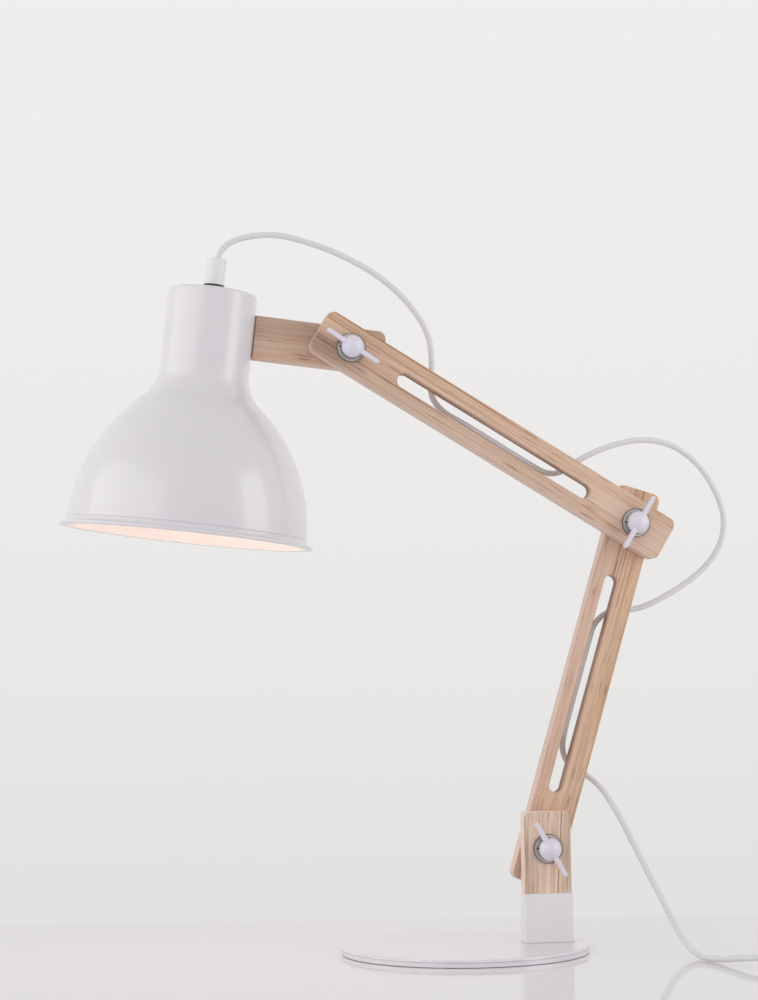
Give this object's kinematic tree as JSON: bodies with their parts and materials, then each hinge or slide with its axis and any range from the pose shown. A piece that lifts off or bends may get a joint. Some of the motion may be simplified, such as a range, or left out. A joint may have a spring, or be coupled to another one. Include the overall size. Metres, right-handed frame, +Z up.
{
  "type": "table lamp",
  "caption": "Table lamp: slotted pine swing arm on a round white base, wing nuts at the pivots, bell-shaped white shade and a cord threaded through the arm slots.",
  "frame": {"origin": "middle of the foot pad's underside, on the table", "axes": "+X along the plane of the arms, away from the shade; +Y away from the wing nuts, towards the bolt heads; +Z up"},
  "size_m": [0.6427, 0.2794, 0.5319],
  "materials": {
    "white_paint": "satin",
    "shade_white": "satin white enamel",
    "pine": "clear matt",
    "zinc_steel": "zinc plated",
    "dark_fibre": "matt",
    "foot_rubber": "matt",
    "grip_grey": "satin",
    "holder_white": "satin",
    "contact_brass": "bright",
    "bulb_metal": "bright",
    "bulb_glass": "frosted",
    "cord_white": "satin",
    "tie_grey": "matt",
    "switch_white": "satin",
    "pin_nickel": "bright"
  },
  "bodies": {
    "base": {"base_disc": "white_paint", "foot_pad": "foot_rubber", "post_sleeve": "white_paint", "post": "pine", "base_screws": "zinc_steel", "shoulder_friction_washer": "dark_fibre", "shoulder_flat_washer": "zinc_steel", "shoulder_spring_washer": "zinc_steel", "cord_drop": "cord_white", "cord_coil": "cord_white", "coil_tie": "tie_grey", "switch_cover": "switch_white", "switch_base": "switch_white", "switch_screws": "zinc_steel", "plug_body": "switch_white", "plug_pins": "pin_nickel"},
    "lower_arm": {"lower_arm": "pine", "shoulder_bolt": "zinc_steel", "elbow_bolt": "zinc_steel", "cord_elbow": "cord_white"},
    "upper_arm": {"upper_arm": "pine", "elbow_friction_washer": "dark_fibre", "elbow_flat_washer": "zinc_steel", "elbow_spring_washer": "zinc_steel", "head_friction_washer": "dark_fibre", "head_flat_washer": "zinc_steel", "head_spring_washer": "zinc_steel", "cord_head": "cord_white"},
    "head": {"head_arm": "pine", "head_bolt": "zinc_steel", "shade_screws": "zinc_steel", "shade": "shade_white", "cord_grip": "grip_grey", "grip_screw": "zinc_steel", "grip_spacer": "dark_fibre", "nipple": "zinc_steel", "nipple_nut": "zinc_steel", "holder_cap": "holder_white", "holder_body": "holder_white", "holder_insert": "holder_white", "thread_sleeve": "contact_brass", "centre_contact": "contact_brass", "bulb_cap": "bulb_metal", "bulb_globe": "bulb_glass"},
    "shoulder_nut": {"shoulder_wing_nut": "white_paint"},
    "elbow_nut": {"elbow_wing_nut": "white_paint"},
    "head_nut": {"head_wing_nut": "white_paint"},
    "rocker": {"switch_rocker": "switch_white"}
  },
  "joints": [
    {"name": "shoulder_swing", "type": "hinge", "parent": "base", "child": "lower_arm", "pos_m": [0.0615, 0.0063, 0.0737], "axis": [0, -1, 0], "range_deg": [-30, 25], "deforming": ["cord_drop"]},
    {"name": "elbow_swing", "type": "hinge", "parent": "lower_arm", "child": "upper_arm", "pos_m": [0.13376, 0.0063, 0.31303], "axis": [0, -1, 0], "range_deg": [-35, 20], "deforming": ["cord_elbow"]},
    {"name": "head_tilt", "type": "hinge", "parent": "upper_arm", "child": "head", "pos_m": [-0.08008, 0.0063, 0.44254], "axis": [0, -1, 0], "range_deg": [-45, 40], "deforming": ["cord_head"]},
    {"name": "shoulder_nut_turn", "type": "hinge", "parent": "lower_arm", "child": "shoulder_nut", "pos_m": [0.0615, -0.0158, 0.0737], "axis": [0, -1, 0], "range_deg": [0, 180]},
    {"name": "elbow_nut_turn", "type": "hinge", "parent": "lower_arm", "child": "elbow_nut", "pos_m": [0.13376, -0.0158, 0.31303], "axis": [0, -1, 0], "range_deg": [0, 180]},
    {"name": "head_nut_turn", "type": "hinge", "parent": "head", "child": "head_nut", "pos_m": [-0.08008, -0.0158, 0.44254], "axis": [0, -1, 0], "range_deg": [0, 180]},
    {"name": "switch_rock", "type": "hinge", "parent": "base", "child": "rocker", "pos_m": [0.249, -0.1565, 0.01825], "axis": [0, -1, 0], "range_deg": [0, 16]}
  ]
}
